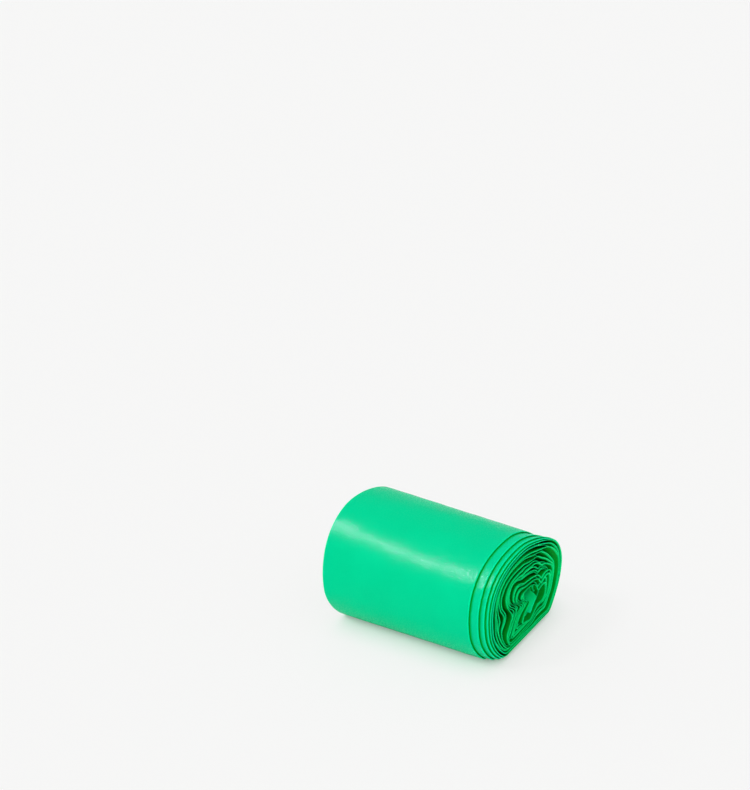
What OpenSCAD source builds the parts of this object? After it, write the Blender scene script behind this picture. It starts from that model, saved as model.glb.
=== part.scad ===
// Coreless roll of folded film bags, lying on the flat that its own weight
// presses into it. One long web is wound from the inside out. The turns have
// slipped along the axis, so at the +X end they stand out in steps, free to
// bulge toward +Y, and at the -X end they are recessed by as much. With no tube
// inside, the middle has caved in along creases. The axis lies along X, +Z is
// up, and the origin is at the middle of the roll's length and width, on the
// surface.

/* [Web] */
// Width of the folded web, which is the length of the outermost turn
web_w = 120; // [90:5:160]
// Thickness of the bundle of film layers that makes one turn
web_t = 1.9; // [1.2:0.1:2.2]
// Share of the distance between two turns that the film may fill
fill = 0.68; // [0.5:0.02:0.8]

/* [Roll] */
// Width across the outermost turn at its +X edge
roll_w = 110.4; // [96:0.1:130]
// Height of the outermost turn at its +X edge
roll_h = 83.3; // [74:0.1:96]
// How much wider and higher the roll is at its -X end, in percent
flare = 4.6; // [0:0.1:7]
// Squareness of the upper front quarter: 2 is an ellipse, more is boxier
square_front = 2.35; // [2:0.05:2.6]
// Squareness of the upper back quarter
square_back = 1.95; // [1.8:0.05:2.4]
// Squareness of the lower half
square_low = 1.85; // [1.8:0.05:2.4]
// Sideways lean toward -Y, as a share of the height
lean = 0.12; // [0:0.01:0.14]
// Depth of round underside that the roll's weight has pressed flat
sag = 15; // [8:1:18]

/* [Turns] */
// Turns in all, from the free inner end to the free outer end
turns = 14; // [11:1:15]
// Turns that lie close together as the outer shell
shell_turns = 5; // [4:1:6]
// Distance between shell turns, as a share of the radius
shell_pitch = 0.029; // [0.022:0.001:0.032]
// Size of the innermost turn, as a share of the radius
eye = 0.16; // [0.12:0.01:0.22]
// Angle round the roll at which the free outer end lies
tail_angle = -10; // [-14:1:10]

/* [Slip] */
// How far the second turn stands out past the first
slip_first = 6.6; // [3:0.2:10]
// Share of each step that the next step keeps
slip_keep = 0.56; // [0.4:0.02:0.8]
// Share of the radius by which the slipped-out turns bulge toward +Y
bulge = 0.18; // [0:0.01:0.2]
// Recess of the caved-in middle behind the shell's last edge
recess = 2; // [0:0.5:8]
// Waviness of the caved-in turns' edges
edge_wave = 1.2; // [0:0.1:2]

/* [Middle] */
// Offset of the middle across the roll
middle_y = 6; // [-4:0.5:12]
// Height of the middle, as a share of the roll's height
middle_z = 0.42; // [0.38:0.01:0.5]
// Depth of the crease from above, as a share of the radius
crease_top = 0.56; // [0.1:0.02:0.6]
// Depth of the sharp crease from the -Y side
crease_side = 0.68; // [0.1:0.02:0.7]
// Depth of the crease from below
crease_low = 0.2; // [0:0.02:0.26]
// Turning of the middle against the shell, in degrees
swirl = 22; // [0:1:26]
// Length of the free inner end that crosses the middle
flap_l = 10; // [5:0.5:11]

/* [Hidden] */

// Stations round one turn, and the last of them
ring = 60;
last = turns * ring;
// Half height of the full outline, before its underside is pressed flat
half_h = (roll_h + sag) / 2;
// Half height of the soft corner between the flat and the sides
corner = 3;
// Part of a shell turn in which it climbs onto the turn before it
climb = 0.16;
// Level of the shell's inner edge, where 0 is the middle and 1 the outside
shell_level = 1 - shell_pitch * shell_turns;
middle = [middle_y, middle_z * roll_h];
// Level at which the creases start, and the levels that they take to come up
// to their full depth. The low crease starts at the outside and comes up sooner.
crease_from = 0.97;
crease_over = 0.62;
low_over = 0.35;
// Direction and spread of each crease, in degrees
top_dir = 64;
top_spread = 27;
side_dir = 176;
side_spread = 12;
low_dir = 262;
low_spread = 34;
hip_dir = 330;
hip_spread = 22;
// Least length of the outermost turn's slipped-out part, from its last point
edge = 1;
// Radius beyond which nothing is turned, so that the flat stays level
swirl_r = 0.95 * middle[1];
bulge_dir = 18;
bulge_spread = 38;
flap_stations = 5;
flap_dir = 207;

function ease(x) = let (k = min(1, max(0, x))) k * k * (3 - 2 * k);
function off_by(d, at) = (d - at + 540) % 360 - 180;
function near(d, at, spread) = exp(-pow(off_by(d, at) / spread, 2));
function bent(v, n) = sign(v) * pow(abs(v), 2 / n);
// Height z over the plane that presses the underside flat
function pressed(z) = z < -corner ? 0 : z > corner ? z : pow(z + corner, 2) / (4 * corner);

// Point at angle a of the outermost turn's outline, as [y, z]
function outline(a) =
    let (n = sin(a) < 0 ? square_low : cos(a) < 0 ? square_front : square_back,
         z = half_h * bent(sin(a), n))
    [roll_w / 2 * bent(cos(a), n) - lean * z, pressed(z + half_h - sag)];

// Share of the radius that the creases take in direction d at a level
function creased(d, level) =
    (crease_top * near(d, top_dir, top_spread) + crease_side * near(d, side_dir, side_spread)
     + crease_low * near(d, hip_dir, hip_spread)) * ease((crease_from - level) / crease_over)
    + crease_low * near(d, low_dir, low_spread) * min(1, (1 - level) / low_over);

// Point at angle a of the closed outline at a level, with its creases and swirl
function place(a, level) =
    let (v = outline(a) - middle,
         w = v * level * (1 - creased(atan2(v[1], v[0]), level)),
         phi = swirl * max(0, 1 - norm(w) / swirl_r))
    middle + [w[0] * cos(phi) - w[1] * sin(phi), w[0] * sin(phi) + w[1] * cos(phi)];

// Turns that lie outside a point that is t turns from the inner end. A shell
// turn climbs in one short part, so the rest of it keeps its distance.
function outside(t) =
    let (k = floor(t), zone = turns - k <= shell_turns ? climb : 1)
    turns - k - min(1, (t - k) / zone);

function level_of(u) = u < shell_turns ? 1 - shell_pitch * u
    : shell_level - (shell_level - eye) * (u - shell_turns) / (turns - shell_turns);

// Slip along the axis of a shell turn with u turns outside it
function slip(u) = slip_first * (1 - pow(slip_keep, u)) / (1 - slip_keep);
most_slip = slip(shell_turns - 1);
total_l = web_w + most_slip;

// Slip at t turns, with the recess and waves of the caved-in turns
function shift(t) =
    let (u = outside(t), deep = ease((u - shell_turns + 1) / 2))
    slip(min(u, shell_turns - 1))
    - deep * (recess + edge_wave * (2 + sin(t * 720 + 40) + sin(t * 1190)) / 2);

function angle_at(t) = tail_angle + 360 * t;

// One station of the web as [outer point, inner point, slip]
function station(t) =
    let (outer = place(angle_at(t), level_of(outside(t))),
         below = place(angle_at(t), level_of(outside(t - 1))),
         way = below - outer)
    [outer, outer + way * min(fill, web_t / norm(way)), shift(t)];

wound = [for (i = [0:last]) station(i / ring)];

// The free inner end runs straight back across the middle, out of the recess
start = wound[0];
flap_t = norm(start[0] - start[1]);
flap = [for (j = [flap_stations:-1:1])
    let (inner = start[1] + flap_l * j / flap_stations * [cos(flap_dir), sin(flap_dir)])
    [inner + flap_t * [-sin(flap_dir), cos(flap_dir)], inner, start[2] + recess * ease(j / 2)]];

web = concat(flap, wound);
count = len(web);

// Point p of the plane across the roll, moved to its place at x. The roll
// widens toward -X about its own centre line and its flat underside. What has
// slipped out past the outermost turn bulges away from the middle.
function at_x(x, p) =
    let (v = p - middle,
         out = bulge * max(0, x - web_w) / most_slip * near(atan2(v[1], v[0]), bulge_dir, bulge_spread))
    (middle + v * (1 + out)) * (1 + flare / 100 * (1 - x / web_w));

// Three points along each wall: where it starts, where it slips out past the
// outermost turn, and where it ends
function corners(s) =
    let (x0 = s[2], x2 = s[2] + web_w, x1 = min(web_w, x2 - edge))
    [[x0, at_x(x0, s[0])], [x1, at_x(x1, s[0])], [x2, at_x(x2, s[0])],
     [x2, at_x(x2, s[1])], [x1, at_x(x1, s[1])], [x0, at_x(x0, s[1])]];
flat = [for (s = web) each corners(s)];
side = [for (q = flat) q[1][0]];
centre_y = (min(side) + max(side)) / 2;
points = [for (q = flat) [q[0] - total_l / 2, q[1][0] - centre_y, q[1][1]]];

// Six faces join each station to the next, and two close each free end
walls = [for (i = [0:count - 2]) for (k = [0:5])
    [6 * i + k, 6 * i + (k + 1) % 6, 6 * i + 6 + (k + 1) % 6, 6 * i + 6 + k]];
ends = concat([[5, 4, 1, 0], [4, 3, 2, 1]],
    [for (q = [[0, 1, 4, 5], [1, 2, 3, 4]]) [for (k = q) 6 * (count - 1) + k]]);

module bag_roll() {
    color([0, 0.77, 0.5])
        polyhedron(points = points, faces = concat(walls, ends));
}

bag_roll();
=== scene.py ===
"""Looks of a coreless roll of folded film bags, lying on its flattened side.

One long web is wound on itself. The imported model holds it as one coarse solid. Here the same spiral is made
again from the same named sizes, with rounded hems at every edge, more and thinner layers in the caved-in
middle, and crumples that differ along the axis. Lengths in this file are in millimetres and angles in
degrees, unless a name says metres.
"""

import math

import bpy
import numpy as np
from mathutils import Matrix, Vector


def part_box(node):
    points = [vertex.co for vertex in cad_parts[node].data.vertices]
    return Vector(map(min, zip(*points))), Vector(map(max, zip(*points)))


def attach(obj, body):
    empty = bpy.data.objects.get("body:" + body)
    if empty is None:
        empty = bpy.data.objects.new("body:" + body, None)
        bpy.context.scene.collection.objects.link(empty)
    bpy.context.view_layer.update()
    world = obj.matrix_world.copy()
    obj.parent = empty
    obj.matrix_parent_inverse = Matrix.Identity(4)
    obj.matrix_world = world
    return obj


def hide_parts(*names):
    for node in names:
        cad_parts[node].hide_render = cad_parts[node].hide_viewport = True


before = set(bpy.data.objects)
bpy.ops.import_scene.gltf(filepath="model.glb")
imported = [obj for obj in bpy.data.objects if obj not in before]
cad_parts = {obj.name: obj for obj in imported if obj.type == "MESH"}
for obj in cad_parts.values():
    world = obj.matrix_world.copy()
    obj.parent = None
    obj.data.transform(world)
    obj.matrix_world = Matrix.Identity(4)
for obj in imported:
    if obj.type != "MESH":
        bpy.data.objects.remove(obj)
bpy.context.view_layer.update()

# Camera of the photograph, in metres and degrees, with its lens and sensor in millimetres
CAMERA_AT = (0.5375, -0.8541, 0.6853)
CAMERA_AZIMUTH = 34.62
CAMERA_ELEVATION = 26.41
CAMERA_ROLL = -3.04
CAMERA_LENS = 74.7
CAMERA_SENSOR = 36.0
CAMERA_REACH = 50.0

# The roll's sizes, measured on the frame where it gives them
METRE = 1000.0
FLARE = 0.046
node_low, node_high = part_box("bag_roll")
ROLL_L = (node_high[0] - node_low[0]) * METRE
ROLL_H = (node_high[2] - node_low[2]) * METRE / (1 + FLARE)
WIDTH_TO_HEIGHT = 1.3253
ROLL_W = WIDTH_TO_HEIGHT * ROLL_H
SQUARE_FRONT = 2.35
SQUARE_BACK = 1.95
SQUARE_LOW = 1.85
LEAN = 0.12
SAG = 15.0
CORNER = 3.0
BULGE = 0.22
BULGE_DIRECTION = 18.0
BULGE_SPREAD = 34.0
# How far before the outermost turn's edge the bulge starts, and over how many times the slip it comes up
BULGE_BEFORE = 1.0
BULGE_OVER = 2.0

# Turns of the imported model: the last ones are the shell, the others the caved-in middle
TURNS = 14
SHELL_TURNS = 5
MIDDLE_TURNS = TURNS - SHELL_TURNS
SHELL_PITCH = 0.029
SHELL_LEVEL = 1 - SHELL_PITCH * SHELL_TURNS
EYE = 0.15
CLIMB = 0.16
SLIP_FIRST = 6.6
SLIP_KEEP = 0.56
MIDDLE = np.array([6.0, 0.42 * ROLL_H])
# How far the turn inside the shell's innermost one lies from it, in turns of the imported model
LAST_GAP = 0.45

# The free outer end: its direction, the angle over which it tapers, its thickness, and how far it sinks
# toward the turn below it, as a share of a turn
TAIL_ANGLE = -10.0
TAIL_SPAN = 16.0
TAIL_T = 0.25
TAIL_SINK = 0.7

# The middle caves in toward its heart along creases. Each has a direction from the heart and how much that
# turns on the way there, the share of the way that it takes, its spread before and after that direction, and
# the share of the way over which it comes up. A share below zero is a fold that reaches out.
HEART = np.array([22.0, 25.0])
CREASES = (
    (84.0, 0.0, 0.60, 22.0, 40.0, 0.85),
    (167.0, 13.0, 0.46, 12.0, 9.0, 0.55),
    (208.0, 0.0, -1.05, 17.0, 22.0, 1.0),
    (30.0, 0.0, -0.30, 25.0, 20.0, 0.80),
)

# Laps of the middle, how they bunch, how much of each gap the film may fill and how thick it is
LAPS = 23
BUNCHING = 0.5
SHELL_FILL = 0.68
SHELL_T = 1.0
LAYER_FILL = 0.7
LAYER_T = 0.85
# How the bunches shift round the roll, as sine waves: size, times a turn and start
BUNCH_WAVES = ((1.3, 1, 0.4), (0.9, 2, 2.0), (0.5, 3, 4.1))
# How much looser the bunches get in places round the roll
BUNCH_LOOSE = 0.18

# Recess of the laps behind the shell's last edge, over how many laps it comes up, how much more every second
# lap has, how much more the innermost ones have and over how many laps, and its uneven steps, as sine waves:
# size, turning a lap and start
RECESS = 1.6
RECESS_LAPS = 3.0
BETWEEN = 3.0
POCKET = 3.2
POCKET_LAPS = 3.5
STEPS = ((1.3, 1.15, 0.4), (0.8, 2.65, 1.0), (0.6, 5.85, 2.0))

# The free inner end, which runs across the middle from the tip of the first fold and stands out of the
# recess: where on the first lap it starts, its stations, its length, its direction and how much that bends,
# how far it stands out, and the share of its length over which it comes to
FIRST_LAP = 0.26
END_STATIONS = 60
END_L = 16.0
END_DIRECTION = 206.0
END_BEND = 4.0
END_OUT = 7.4
END_RISE = 0.4

# Soft dents of the shell: place along the roll, direction, sizes along and around, and height
DENTS = (
    (4.0, 120.0, 38.0, 22.0, 3.0),
    (6.0, 160.0, 34.0, 14.0, -0.9),
    (78.0, 152.0, 26.0, 11.0, 0.35),
    (96.0, 128.0, 20.0, 9.0, 0.25),
    (50.0, 165.0, 24.0, 10.0, -0.3),
    (70.0, 92.0, 30.0, 9.0, 0.25),
    (112.0, 100.0, 14.0, 6.0, -0.25),
)

# Swells of the shell's film, and its small crumples where it has slipped out at the front: height, longest
# and shortest wave, number of waves and seed
SWELL = (0.07, 34.0, 16.0, 9, 3)
RAGGED = (0.16, 8.0, 4.0, 9, 5)
# Direction and spread of the small crumples, how far before the outermost turn's edge they start, and over
# what length
RAGGED_DIRECTION = 150.0
RAGGED_SPREAD = 32.0
RAGGED_BEFORE = 4.0
RAGGED_OVER = 5.0
# Distance from the middle of the roll at which the dents and swells start, and over which they come up
DENTS_FROM = 22.0
DENTS_OVER = 16.0

# Crumples of the middle: height, how much more near the ends of the roll, longest and shortest wave, and
# number of waves
CRUMPLE_BROAD = (1.1, 0.6, 34.0, 18.0, 7)
CRUMPLE_SMALL = (0.12, 0.12, 12.0, 8.0, 9)
# How fast they change along the roll, as a share of how fast they change across it
CRUMPLE_ALONG = 0.45
# Where they are highest, from the -X end and from the +X end, and over what length that falls off
CRUMPLE_LOW_END = 8.0
CRUMPLE_HIGH_END = 2.0
CRUMPLE_ENDS = 14.0
# Axes across the roll, each with the seed of its crumples
CRUMPLE_AXES = ((1, 11), (2, 29))
# Reach of the crumples from the middle of the roll, over what distance they fade, and how much less they
# reach up and down
CRUMPLE_REACH = 50.0
CRUMPLE_EDGE = 16.0
CRUMPLE_FLAT = 1.6

# Places across the web where its surface has points, as shares of its width. Those of the shell's outer face
# lie closer.
HEM_STRIP = 0.007
HEM_LOW = [0.0, 0.004, HEM_STRIP]
HEM_HIGH = [1 - HEM_STRIP, 0.996, 1.0]
SHELL_FRONT = HEM_LOW + list(np.arange(0.04, 0.93, 0.04)) + [0.944, 0.955, 0.966, 0.978] + HEM_HIGH
SHELL_BACK = HEM_LOW + [0.03, 0.06, 0.14, 0.3, 0.5, 0.7, 0.84, 0.9, 0.94, 0.97] + HEM_HIGH
MIDDLE_FACE = [0.0, HEM_STRIP, 0.07, 0.5, 0.87, 0.95, 1 - HEM_STRIP, 1.0]
# Shares of the width between which all laps of the middle have one slip, so that neighbours stay apart
MIDDLE_STILL = (0.05, 0.9)
# Points on the round of a hem, with the last of each face
HEM_STEPS = 6
# Stations a turn of the shell, and a lap of the middle
SHELL_STATIONS = 200
LAP_STATIONS = 170

# Colours of the film, on the shell and in the caved-in middle, where light has passed through more layers:
# its darkest, its lightest, at a hem and deep in a crevice. The middle's darker, yellower greens are partly
# the stacked film's own colour and partly painted shade inside the mouth. The hem colour is painted edge
# light on the rounded folds, and the crevice colour is painted shade.
FILM_DEEP = ((0.0, 0.61, 0.275, 1), (0.0, 0.21, 0.003, 1))
FILM_LIGHT = ((0.0, 0.68, 0.315, 1), (0.0, 0.46, 0.045, 1))
FILM_HEM_EDGE_LIGHT = ((0.0, 0.84, 0.37, 1), (0.0, 0.84, 0.23, 1))
FILM_CREVICE_SHADE = ((0.0, 0.46, 0.01, 1), (0.0, 0.13, 0.001, 1))
# Distances in metres from a crevice's mouth between which it takes its painted shade, on the shell and in
# the middle
CREVICE_FROM = (-0.0021, -0.0018)
CREVICE_TO = (0.0003, 0.0018)
# How much of its hems' paler colour the free inner end has all over, painted light on a strip that lies
# in shade, and how far its tip takes the middle's colours
END_PAINTED_LIGHT = 0.95
END_TIP_MIDDLE_SHARE = 0.2
# The shell's inner wall has the middle's darker colours, a painted shade, up to here in turns from its start,
# and fades over so many turns. The outer wall of the middle fades to the shell's over so many laps.
SHELL_SHADED_TURNS = 1.1
SHELL_FADES = 0.2
MIDDLE_FADES = 2.0
# Scale and detail of the slight clouds in the colour
CLOUD = (38.0, 3.0)
# Relief of the film, from broad to fine: noise scale and detail, share of that scale round the roll, and the
# strength and the height in metres of its bump
RELIEF = (
    (60.0, 1.0, 1.0, 0.5, 0.0013),
    (520.0, 2.0, 0.22, 0.6, 0.00013),
    (1500.0, 1.0, 1.0, 1.0, 0.0001),
)
# Patches of the roughness: noise scale, the noise values between which it changes, and its least and most
PATCH_SCALE = 800.0
PATCH_NOISE = (0.35, 0.65)
PATCH_ROUGH = (0.12, 0.38)
SPECULAR = 0.013

# Lamps: direction, height and width in degrees, and strength
SOFTBOX = (-133.0, 49.0, 12.0, 0.6)
GLOSS_BOX = (-144.0, 56.0, 17.0, 21.5)
GLOSS_COLOUR = (1.0, 0.78, 1.22)
# Where most of the world's light comes from, its strength from behind and from there
WORLD_TOWARD = (-0.05, -0.5, 0.865)
WORLD_BACK = 0.26
WORLD_FRONT = 1.06
# The floor's size in metres and colour, and the share of it that the camera sees plain
FLOOR_SIZE = 12.0
FLOOR_COLOUR = (0.93, 0.93, 0.93, 1)
FLOOR_ROUGH = 0.9
FLOOR_PLAIN = 0.84
# Distance in metres from the roll within which the floor is seen less plain, and how sharply that starts
FLOOR_REACH = 0.02
FLOOR_POWER = 0.7
# The pale floor and background, as the camera sees them
BACKDROP = (0.92, 0.92, 0.915, 1)


def ease(x):
    """Smooth step from 0 to 1."""
    x = np.clip(x, 0.0, 1.0)
    return x * x * (3.0 - 2.0 * x)


def near(direction, at, before, after):
    """How close a direction is to another, from 0 to 1, with a spread before it and a spread after it."""
    off = (direction - at + 540.0) % 360.0 - 180.0
    return np.exp(-((off / np.where(off < 0, before, after)) ** 2))


def outline(angle):
    """The outermost turn's outline, superelliptic, leaning, with its underside pressed flat."""
    c, s = np.cos(np.radians(angle)), np.sin(np.radians(angle))
    n = np.where(s < 0, SQUARE_LOW, np.where(c < 0, SQUARE_FRONT, SQUARE_BACK))
    half_h = (ROLL_H + SAG) / 2
    z = half_h * np.sign(s) * np.abs(s) ** (2 / n)
    y = ROLL_W / 2 * np.sign(c) * np.abs(c) ** (2 / n) - LEAN * z
    z = z + half_h - SAG
    rounded = (z + CORNER) ** 2 / (4 * CORNER)
    return y, np.where(z < -CORNER, 0.0, np.where(z > CORNER, z, rounded))


def place(angle, level):
    """Points in the plane across the roll, on the closed outline at a level from 0, the heart, to 1."""
    y, z = outline(angle)
    shell = np.maximum(level, SHELL_LEVEL)
    dy = MIDDLE[0] + (y - MIDDLE[0]) * shell - HEART[0]
    dz = MIDDLE[1] + (z - MIDDLE[1]) * shell - HEART[1]
    direction = np.degrees(np.arctan2(dz, dy))
    way = level / shell
    depth = 0
    for at, turn, share, before, after, reach in CREASES:
        crease = share * near(direction, at + turn * (1 - way), before, after)
        depth = depth + crease * ease((1 - way) / reach)
    scale = way * (1 - depth)
    return np.stack([HEART[0] + dy * scale, HEART[1] + dz * scale], -1)


def level_of(u):
    """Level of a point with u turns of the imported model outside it."""
    inner = SHELL_LEVEL - (SHELL_LEVEL - EYE) * (u - SHELL_TURNS) / MIDDLE_TURNS
    return np.where(u < SHELL_TURNS, 1 - SHELL_PITCH * u, inner)


def slip(u):
    """Slip along the axis of a shell turn with u turns outside it."""
    return SLIP_FIRST * (1 - SLIP_KEEP ** u) / (1 - SLIP_KEEP)


MOST_SLIP = slip(SHELL_TURNS - 1)
WEB_W = ROLL_L - MOST_SLIP
# The one slip of the laps of the middle away from their edges
MIDDLE_SLIP = MOST_SLIP - 4.0
# Slip that stands for a face with nothing beside it
OPEN = -ROLL_L


def waves(points, seed, longest, shortest, count):
    """Smooth noise in space, about -1 to 1: a sum of plane waves between two wavelengths."""
    rng = np.random.default_rng(seed)
    total = np.zeros(points.shape[:-1])
    for _ in range(count):
        length = shortest + (longest - shortest) * rng.random()
        way = rng.normal(size=3)
        way *= 2 * math.pi / length / np.linalg.norm(way)
        total += np.sin(points @ way + 2 * math.pi * rng.random())
    return total / math.sqrt(count)


def recess(lap):
    """How far the caved-in middle lies behind the shell's last edge, at a lap from the inner end."""
    step = sum(size * np.sin(turning * lap + start) for size, turning, start in STEPS)
    between = BETWEEN * np.sin(math.pi / 2 * lap) ** 2
    pocket = POCKET * np.exp(-((lap / POCKET_LAPS) ** 2))
    return ease((LAPS - lap) / RECESS_LAPS) * (RECESS + step + between + pocket)


def shell_stations(per_turn):
    """The shell from its innermost turn to the free end: points of the outer and inner wall, slip along the
    axis, and for each wall the reach of the crevice beside it, as the slips at its two ends, and how far the
    wall takes the middle's colours, which are painted shade on the shell's inner wall."""
    t = np.arange(MIDDLE_TURNS * per_turn, TURNS * per_turn + 1) / per_turn
    whole = np.minimum(np.floor(t), TURNS - 1)
    u = TURNS - whole - np.minimum(1, (t - whole) / CLIMB)
    angle = TAIL_ANGLE + 360 * t
    tail = ease(1 - (TURNS - t) * 360 / TAIL_SPAN)
    outer = place(angle, level_of(u + TAIL_SINK * tail))
    below = place(angle, level_of(u + np.where(u < SHELL_TURNS - 1, 1, LAST_GAP)))
    way = below - outer
    film_t = SHELL_T + (TAIL_T - SHELL_T) * tail
    thick = np.minimum(SHELL_FILL, film_t / np.linalg.norm(way, axis=1))
    shift = slip(np.minimum(u, SHELL_TURNS - 1))
    lap = np.minimum(LAPS - 1 + t - MIDDLE_TURNS, LAPS)
    inside = np.where(t < MIDDLE_TURNS + 1, MOST_SLIP - recess(lap), slip(u + 1))
    outside = np.where(whole == TURNS - 1, OPEN, slip(np.maximum(u - 1, 0)))
    hidden = (np.minimum(shift, inside), np.maximum(shift, inside))
    # The inner wall near the shell's start takes the middle's darker colours: painted shade.
    middle_colour_share = (0 * t, ease((MIDDLE_TURNS + SHELL_SHADED_TURNS - t) / SHELL_FADES))
    return outer, outer + way * thick[:, None], shift, (outside, shift), hidden, middle_colour_share


def middle_stations(per_turn):
    """The same along the caved-in middle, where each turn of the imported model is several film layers."""
    lap = np.arange(round(FIRST_LAP * per_turn), LAPS * per_turn + 1) / per_turn
    pitch = MIDDLE_TURNS / LAPS
    angle = TAIL_ANGLE + 360 * lap
    a = np.radians(angle)
    phase = sum(size * np.sin(times * a + start) for size, times, start in BUNCH_WAVES)
    amount = BUNCHING * (1 - BUNCH_LOOSE * np.sin(a * 2 + 1.0) ** 2)

    def bunched(u):
        return u + amount / (2 * math.pi) * (np.sin(2 * math.pi * u + phase) - np.sin(phase))

    u = TURNS - lap * pitch
    outer = place(angle, level_of(bunched(u)))
    below = place(angle, level_of(bunched(u + pitch)))
    way = below - outer
    film_t = SHELL_T + (LAYER_T - SHELL_T) * ease(LAPS - lap)
    thick = np.minimum(LAYER_FILL, film_t / np.linalg.norm(way, axis=1))
    inner = outer + way * thick[:, None]
    own, before, after = (MOST_SLIP - recess(np.minimum(lap + n, LAPS)) for n in (0, -1, 1))
    outside = (np.minimum(own, after), np.maximum(own, after))
    inside = (np.minimum(own, before), np.maximum(own, before))
    # Share of the middle's darker colours, partly the stacked film's own and partly painted shade
    middle_colour_share = (ease((LAPS - lap) / MIDDLE_FADES), 0 * lap + 1)
    return with_end(outer, inner, own, outside, inside, middle_colour_share)


def with_end(outer, inner, shift, outside, inside, middle_colour_share):
    """The middle's stations, with the free inner end put before them."""
    share = np.linspace(1, 0, END_STATIONS, endpoint=False)
    direction = np.radians(END_DIRECTION + END_BEND * share)
    way = np.stack([np.cos(direction), np.sin(direction)], -1)
    across = np.stack([-way[:, 1], way[:, 0]], -1)
    thick = np.linalg.norm(outer[0] - inner[0])
    end_inner = inner[0] + END_L * share[:, None] * way
    end_shift = shift[0] + END_OUT * ease(share / END_RISE)
    end_outer = end_inner + thick * across
    open_high = np.full(END_STATIONS, OPEN)
    return (
        np.concatenate([end_outer, outer]),
        np.concatenate([end_inner, inner]),
        np.concatenate([end_shift, shift]),
        (np.concatenate([open_high, outside[0]]), np.concatenate([end_shift, outside[1]])),
        (np.concatenate([open_high, inside[0]]), np.concatenate([end_shift, inside[1]])),
        [np.concatenate([END_TIP_MIDDLE_SHARE * share + 1 - share, side]) for side in middle_colour_share],
    )


def web_points(outer, inner, shift, outside, inside, middle_colour_share, across, back, still=(1.0, 0.0)):
    """The web's surface as rings of points, one ring a station: across the outer face, round one hem, back
    across the inner face and round the other hem. Between the two shares in still, points don't follow their
    own station's slip. Returns the points and, by name, what the material needs at each: the weight of the
    hem, for its painted edge light, the two mouths of the crevice, for its painted shade, and how far the
    point takes the middle's colours, which are partly painted shade."""
    half = (outer - inner) / 2
    mid = (outer + inner) / 2
    radius = np.linalg.norm(half, axis=1)
    round_steps = np.linspace(90, -90, HEM_STEPS)[1:-1]
    profile = [(x, 1.0, 0.0, float(min(x, 1 - x) < HEM_STRIP / 2)) for x in across]
    profile += [(1.0, math.sin(math.radians(r)), math.cos(math.radians(r)), 1.0) for r in round_steps]
    profile += [(x, -1.0, 0.0, float(min(x, 1 - x) < HEM_STRIP / 2)) for x in back[::-1]]
    profile += [(0.0, -math.sin(math.radians(r)), -math.cos(math.radians(r)), 1.0) for r in round_steps]
    rings = []
    mouths = []
    for along, side, out, _ in profile:
        x = shift + radius + along * (WEB_W - 2 * radius) + out * radius
        if still[0] < along < still[1]:
            x = 0 * shift + MIDDLE_SLIP + along * WEB_W
        rings.append(np.concatenate([x[:, None], mid + half * side], 1))
        high, low = outside if side > 0 else inside
        mouths.append(np.stack([high + WEB_W, low], -1))
    mouths = (np.stack(mouths, 1) - ROLL_L / 2) / METRE
    values = {
        "hem": np.tile([w for _, _, _, w in profile], (len(mid), 1)),
        "mouth_high": mouths[..., 0],
        "mouth_low": mouths[..., 1],
        # Share of the middle's darker colours, partly painted shade
        "inside": np.stack([middle_colour_share[0] if side > 0 else middle_colour_share[1] for _, side, _, _ in profile], 1),
    }
    return np.stack(rings, 1), values


def crumple(points):
    """Moves points across the roll by smooth noise that fades out toward the shell, more at the ends."""
    from_middle = np.hypot(points[..., 1] - MIDDLE[0], (points[..., 2] - MIDDLE[1]) * CRUMPLE_FLAT)
    weight = ease((CRUMPLE_REACH - from_middle) / CRUMPLE_EDGE)
    x = points[..., 0]
    at_end = np.exp(-np.abs(x - ROLL_L + CRUMPLE_HIGH_END) / CRUMPLE_ENDS)
    at_end = at_end + np.exp(-np.abs(x - CRUMPLE_LOW_END) / CRUMPLE_ENDS)
    stretched = points * np.array([CRUMPLE_ALONG, 1.0, 1.0])
    moved = points.copy()
    for axis, seed in CRUMPLE_AXES:
        wave = 0
        for more, (height, at_ends, longest, shortest, count) in enumerate((CRUMPLE_BROAD, CRUMPLE_SMALL)):
            size = height + at_ends * at_end
            wave = wave + size * waves(stretched, seed + more, longest, shortest, count)
        moved[..., axis] += weight * wave
    return moved


def at_x(points):
    """Each point moved to its place at its x: the roll widens toward -X, and it bulges past the outermost
    turn."""
    x = points[..., :1]
    off = points[..., 1:] - MIDDLE
    direction = np.degrees(np.arctan2(off[..., 1:], off[..., :1]))
    past = ease((x - WEB_W + BULGE_BEFORE) / (BULGE_OVER * MOST_SLIP)) * BULGE_OVER
    off = off * (1 + BULGE * past * near(direction, BULGE_DIRECTION, BULGE_SPREAD, BULGE_SPREAD))
    return np.concatenate([x, (MIDDLE + off) * (1 + FLARE * (1 - x / WEB_W))], -1)


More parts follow.
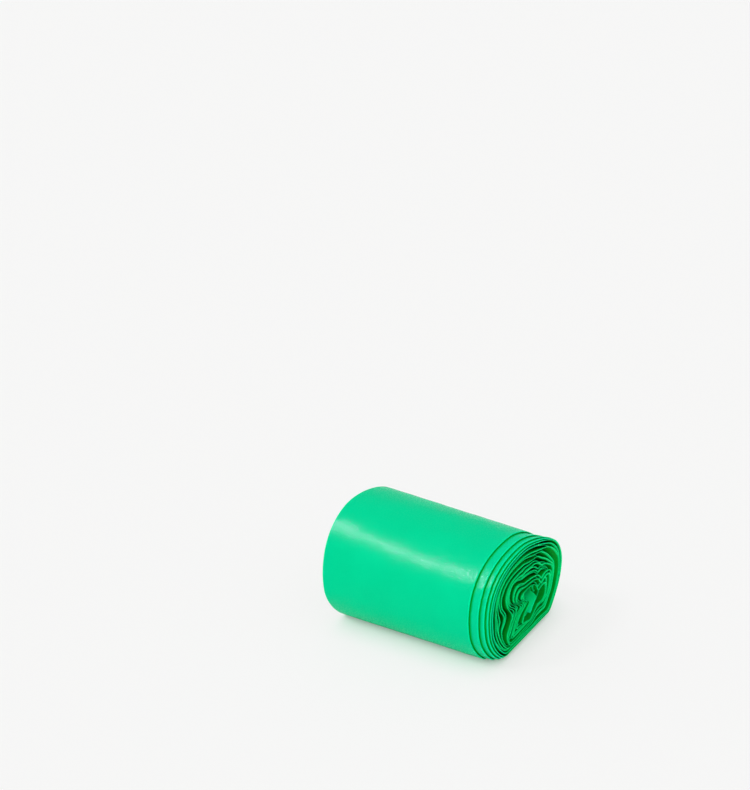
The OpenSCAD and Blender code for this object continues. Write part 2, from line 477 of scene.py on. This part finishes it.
def dented(points):
    """Moves points across the roll by the broad soft dents and the swells of the loosely wound shell, less
    toward the middle."""
    off = points[..., 1:] - MIDDLE
    radius = np.hypot(off[..., 0], off[..., 1])
    direction = np.degrees(np.arctan2(off[..., 1], off[..., 0]))
    x = points[..., 0]
    height = 0
    for at_length, at, along, around, amount in DENTS:
        dent = amount * np.exp(-(((x - at_length) / along) ** 2))
        height = height + dent * near(direction, at, around, around)
    sheet = np.stack([x, np.radians(direction % 360) * ROLL_W / 2, 0 * x], -1)
    slipped = ease((x - WEB_W + RAGGED_BEFORE) / RAGGED_OVER)
    ragged = slipped * near(direction, RAGGED_DIRECTION, RAGGED_SPREAD, RAGGED_SPREAD)
    for where, (size, longest, shortest, count, seed) in ((1, SWELL), (ragged, RAGGED)):
        height = height + size * where * waves(sheet, seed, longest, shortest, count)
    moved = points.copy()
    moved[..., 1:] += (height * ease((radius - DENTS_FROM) / DENTS_OVER) / radius)[..., None] * off
    return moved


def centre_line():
    """How far the box's middle lies from y = 0, before the roll is centred on the frame."""
    y, _ = outline(np.arange(0.0, 360.0, 0.5))
    return y.min() * (1 + FLARE) - node_low[1] * METRE


def web_mesh(name, rings, values):
    """A closed mesh from the rings, with the values that the material needs and the distance along the
    web."""
    count, around = rings.shape[:2]
    moved = at_x(dented(rings)) - np.array([ROLL_L / 2, centre_line(), 0.0])
    moved[..., 2] = np.maximum(moved[..., 2], 0.0)
    a = np.arange(count - 1)[:, None] * around + np.arange(around)[None]
    b = np.arange(count - 1)[:, None] * around + (np.arange(around)[None] + 1) % around
    quads = np.stack([a, b, b + around, a + around], -1).reshape(-1, 4)
    caps = [list(range(around))[::-1], [(count - 1) * around + i for i in range(around)]]
    mesh = bpy.data.meshes.new(name)
    mesh.from_pydata((moved.reshape(-1, 3) / METRE).tolist(), [], quads.tolist() + caps)
    mesh.polygons.foreach_set("use_smooth", [True] * (len(quads)) + [False, False])
    run = np.concatenate([[0], np.cumsum(np.linalg.norm(np.diff(rings[:, 0], axis=0), axis=1))])
    values["along"] = np.repeat(run, around) / METRE
    for key, value in values.items():
        mesh.attributes.new(key, "FLOAT", "POINT").data.foreach_set("value", value.ravel())
    mesh.update()
    mesh.validate()
    piece = bpy.data.objects.new(name, mesh)
    bpy.context.scene.collection.objects.link(piece)
    return piece


def add_node(tree, kind, **values):
    """A shader node with some of its settings or unlinked inputs set."""
    node = tree.nodes.new(kind)
    for key, value in values.items():
        if key in node.inputs:
            node.inputs[key].default_value = value
        else:
            setattr(node, key, value)
    return node


def mixed(tree, share, colour_a, colour_b):
    """Two colours, or the outputs of nodes, mixed by a share."""
    node = add_node(tree, "ShaderNodeMixRGB")
    for socket, value in (("Fac", share), ("Color1", colour_a), ("Color2", colour_b)):
        if isinstance(value, tuple):
            node.inputs[socket].default_value = value
        else:
            tree.links.new(value, node.inputs[socket])
    return node.outputs["Color"]


def crevice_depth(tree, place_x, inside):
    """How deep a point lies in the crevice between two turns, from 0 near its mouth to 1: the share of the
    painted crevice shade there.
    """
    gaps = []
    for name, high in (("mouth_high", True), ("mouth_low", False)):
        mouth = add_node(tree, "ShaderNodeAttribute", attribute_name=name)
        gap = add_node(tree, "ShaderNodeMath", operation="SUBTRACT")
        tree.links.new(mouth.outputs["Fac"] if high else place_x, gap.inputs[0])
        tree.links.new(place_x if high else mouth.outputs["Fac"], gap.inputs[1])
        gaps.append(gap.outputs["Value"])
    depth = add_node(tree, "ShaderNodeMath", operation="MINIMUM")
    tree.links.new(gaps[0], depth.inputs[0])
    tree.links.new(gaps[1], depth.inputs[1])
    share = add_node(tree, "ShaderNodeMapRange", interpolation_type="SMOOTHSTEP")
    tree.links.new(depth.outputs["Value"], share.inputs["Value"])
    for socket, shell, middle in (("From Min", *CREVICE_FROM), ("From Max", *CREVICE_TO)):
        reach = add_node(tree, "ShaderNodeMapRange")
        reach.inputs["To Min"].default_value = shell
        reach.inputs["To Max"].default_value = middle
        tree.links.new(inside, reach.inputs["Value"])
        tree.links.new(reach.outputs["Result"], share.inputs[socket])
    return share.outputs["Result"]


def film_colour(tree, crevice_shade_share, inside):
    """Even green with slight clouds, paler at the hems as painted edge light where less film lies behind, and
    a darker painted shade deep in the crevices, where light has passed through many layers. The middle's
    colours are partly painted shade."""
    place_node = add_node(tree, "ShaderNodeTexCoord")
    cloud = add_node(tree, "ShaderNodeTexNoise", Scale=CLOUD[0], Detail=CLOUD[1])
    tree.links.new(place_node.outputs["Object"], cloud.inputs["Vector"])
    hem = add_node(tree, "ShaderNodeAttribute", attribute_name="hem")
    kinds = (FILM_DEEP, FILM_LIGHT, FILM_CREVICE_SHADE, FILM_HEM_EDGE_LIGHT)
    deep, light, crevice, edge = (mixed(tree, inside, *pair) for pair in kinds)
    body = mixed(tree, cloud.outputs["Fac"], deep, light)
    # Painted shade deep in the crevices
    body = mixed(tree, crevice_shade_share, body, crevice)
    # Painted edge light at the hems
    return mixed(tree, hem.outputs["Fac"], body, edge)


def film_roughness(tree, web, crevice_shade_share):
    """Satin patches, and nothing that shines deep in a crevice."""
    patches = add_node(tree, "ShaderNodeTexNoise", Scale=PATCH_SCALE, Detail=0.0)
    tree.links.new(web, patches.inputs["Vector"])
    rough = add_node(tree, "ShaderNodeMapRange")
    rough.inputs["From Min"].default_value, rough.inputs["From Max"].default_value = PATCH_NOISE
    rough.inputs["To Min"].default_value, rough.inputs["To Max"].default_value = PATCH_ROUGH
    tree.links.new(patches.outputs["Fac"], rough.inputs["Value"])
    dull = add_node(tree, "ShaderNodeMath", operation="MAXIMUM")
    tree.links.new(rough.outputs["Result"], dull.inputs[0])
    tree.links.new(crevice_shade_share, dull.inputs[1])
    return dull.outputs["Value"]


def film_relief(tree, web):
    """The film's swells, its fine streaks round the roll and its grain, as one chain of bumps."""
    normal = None
    for scale, detail, round_share, strength, height in RELIEF:
        stretched = add_node(tree, "ShaderNodeMapping", Scale=(1.0, round_share, 1.0))
        tree.links.new(web, stretched.inputs["Vector"])
        noise = add_node(tree, "ShaderNodeTexNoise", Scale=scale, Detail=detail)
        tree.links.new(stretched.outputs["Vector"], noise.inputs["Vector"])
        bump = add_node(tree, "ShaderNodeBump", Strength=strength, Distance=height)
        tree.links.new(noise.outputs["Fac"], bump.inputs["Height"])
        if normal:
            tree.links.new(normal, bump.inputs["Normal"])
        normal = bump.outputs["Normal"]
    return normal


def film_material():
    """Satin blown film in many layers."""
    material = bpy.data.materials.new("bag_film")
    material.use_nodes = True
    tree = material.node_tree
    shader = tree.nodes["Principled BSDF"]
    along = add_node(tree, "ShaderNodeAttribute", attribute_name="along")
    inside = add_node(tree, "ShaderNodeAttribute", attribute_name="inside").outputs["Fac"]
    place_node = add_node(tree, "ShaderNodeTexCoord")
    split = add_node(tree, "ShaderNodeSeparateXYZ")
    tree.links.new(place_node.outputs["Object"], split.inputs["Vector"])
    place_x = split.outputs["X"]
    web = add_node(tree, "ShaderNodeCombineXYZ")
    tree.links.new(place_x, web.inputs["X"])
    tree.links.new(along.outputs["Fac"], web.inputs["Y"])
    crevice_shade_share = crevice_depth(tree, place_x, inside)
    parts = (
        ("Base Color", film_colour(tree, crevice_shade_share, inside)),
        ("Roughness", film_roughness(tree, web.outputs["Vector"], crevice_shade_share)),
        ("Normal", film_relief(tree, web.outputs["Vector"])),
    )
    for socket, output in parts:
        tree.links.new(output, shader.inputs[socket])
    shader.inputs["Specular IOR Level"].default_value = SPECULAR
    return material


def dress(piece, material):
    """Gives a piece its material and ties it to the part."""
    piece.data.materials.append(material)
    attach(piece, "root")


def make_roll():
    """The shell of close turns and the caved-in middle, as two closed webs that meet end to end."""
    film = film_material()
    rings, values = web_points(*shell_stations(SHELL_STATIONS), SHELL_FRONT, SHELL_BACK)
    shell = web_mesh("film_shell", rings, values)
    dress(shell, film)
    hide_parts("bag_roll")
    stations = middle_stations(LAP_STATIONS)
    rings, values = web_points(*stations, MIDDLE_FACE, MIDDLE_FACE, still=MIDDLE_STILL)
    # The free inner end takes the hems' paler colour all over: painted light on a strip in shade.
    values["hem"][:END_STATIONS] = np.maximum(values["hem"][:END_STATIONS], END_PAINTED_LIGHT)
    middle = web_mesh("film_middle", crumple(rings), values)
    dress(middle, film)


def make_camera():
    """The photograph's camera, which is turned a little about its own axis."""
    azimuth, elevation, roll = (math.radians(v) for v in (CAMERA_AZIMUTH, CAMERA_ELEVATION, CAMERA_ROLL))
    out = math.cos(elevation)
    back = Vector((out * math.sin(azimuth), -out * math.cos(azimuth), math.sin(elevation)))
    level = Vector((math.cos(azimuth), math.sin(azimuth), 0))
    upright = back.cross(level)
    right = math.cos(roll) * level + math.sin(roll) * upright
    up = back.cross(right)
    data = bpy.data.cameras.new("camera")
    data.lens = CAMERA_LENS
    data.sensor_width = CAMERA_SENSOR
    data.clip_end = CAMERA_REACH
    camera = bpy.data.objects.new("camera", data)
    camera.matrix_world = Matrix.Translation(CAMERA_AT) @ Matrix((right, up, back)).transposed().to_4x4()
    bpy.context.scene.collection.objects.link(camera)
    bpy.context.scene.camera = camera


def make_lamp(name, azimuth, elevation, width, strength, colour=(1, 1, 1), diffuse=True):
    """A far soft lamp, seen from the roll in a direction and as wide as an angle. Without diffuse light it
    only shows in the gloss."""
    a, e = math.radians(azimuth), math.radians(elevation)
    way = Vector((math.cos(e) * math.cos(a), math.cos(e) * math.sin(a), math.sin(e)))
    data = bpy.data.lights.new(name, "SUN")
    data.angle = math.radians(width)
    data.energy = strength
    data.color = colour
    lamp = bpy.data.objects.new(name, data)
    lamp.visible_diffuse = diffuse
    lamp.location = way
    lamp.rotation_euler = way.to_track_quat("Z", "Y").to_euler()
    bpy.context.scene.collection.objects.link(lamp)


def make_room():
    """A pale floor and soft light from all round, with a softbox at the front left."""
    mesh = bpy.data.meshes.new("floor")
    corners = [(x * FLOOR_SIZE, y * FLOOR_SIZE, 0) for x, y in ((-1, -1), (1, -1), (1, 1), (-1, 1))]
    mesh.from_pydata(corners, [], [(0, 1, 2, 3)])
    floor = bpy.data.objects.new("floor", mesh)
    bpy.context.scene.collection.objects.link(floor)
    mesh.materials.append(floor_material())
    make_world()
    make_lamp("softbox", *SOFTBOX)
    make_lamp("gloss_box", *GLOSS_BOX, colour=GLOSS_COLOUR, diffuse=False)


def floor_material():
    """Pale paper. To the camera its own colour is mixed in plain, which lifts the green light that the roll
    throws on it, and less of it near the roll, which keeps the shadow."""
    paper = bpy.data.materials.new("pale_floor")
    paper.use_nodes = True
    tree = paper.node_tree
    shader = tree.nodes["Principled BSDF"]
    shader.inputs["Base Color"].default_value = FLOOR_COLOUR
    shader.inputs["Roughness"].default_value = FLOOR_ROUGH
    shader.inputs["Specular IOR Level"].default_value = 0.0
    plain = add_node(tree, "ShaderNodeEmission")
    plain.inputs["Color"].default_value = BACKDROP
    path = add_node(tree, "ShaderNodeLightPath")
    share = add_node(tree, "ShaderNodeMath", operation="MULTIPLY")
    openness = add_node(tree, "ShaderNodeAmbientOcclusion", samples=8, Distance=FLOOR_REACH)
    softened = add_node(tree, "ShaderNodeMath", operation="POWER")
    softened.inputs[1].default_value = FLOOR_POWER
    tree.links.new(openness.outputs["AO"], softened.inputs[0])
    plain_share = add_node(tree, "ShaderNodeMath", operation="MULTIPLY")
    plain_share.inputs[1].default_value = FLOOR_PLAIN
    tree.links.new(softened.outputs["Value"], plain_share.inputs[0])
    tree.links.new(plain_share.outputs["Value"], share.inputs[1])
    tree.links.new(path.outputs["Is Camera Ray"], share.inputs[0])
    both = add_node(tree, "ShaderNodeMixShader")
    tree.links.new(share.outputs["Value"], both.inputs["Fac"])
    tree.links.new(shader.outputs["BSDF"], both.inputs[1])
    tree.links.new(plain.outputs["Emission"], both.inputs[2])
    tree.links.new(both.outputs["Shader"], tree.nodes["Material Output"].inputs["Surface"])
    return paper


def make_world():
    """Soft light from all round, more of it from the front left and above."""
    world = bpy.data.worlds.new("studio")
    world.use_nodes = True
    tree = world.node_tree
    way = add_node(tree, "ShaderNodeTexCoord")
    toward = add_node(tree, "ShaderNodeVectorMath", operation="DOT_PRODUCT")
    toward.inputs[1].default_value = WORLD_TOWARD
    tree.links.new(way.outputs["Generated"], toward.inputs[0])
    level = add_node(tree, "ShaderNodeMapRange")
    level.inputs["From Min"].default_value = -1.0
    level.inputs["To Min"].default_value = WORLD_BACK
    level.inputs["To Max"].default_value = WORLD_FRONT
    tree.links.new(toward.outputs["Value"], level.inputs["Value"])
    background = tree.nodes["Background"]
    background.inputs["Color"].default_value = (1, 1, 1, 1)
    tree.links.new(level.outputs["Result"], background.inputs["Strength"])
    backdrop = add_node(tree, "ShaderNodeBackground")
    backdrop.inputs["Color"].default_value = BACKDROP
    path = add_node(tree, "ShaderNodeLightPath")
    both = add_node(tree, "ShaderNodeMixShader")
    tree.links.new(path.outputs["Is Camera Ray"], both.inputs["Fac"])
    tree.links.new(background.outputs["Background"], both.inputs[1])
    tree.links.new(backdrop.outputs["Background"], both.inputs[2])
    tree.links.new(both.outputs["Shader"], tree.nodes["World Output"].inputs["Surface"])
    bpy.context.scene.world = world


make_camera()
make_room()
make_roll()
bpy.context.scene.view_settings.view_transform = "Standard"
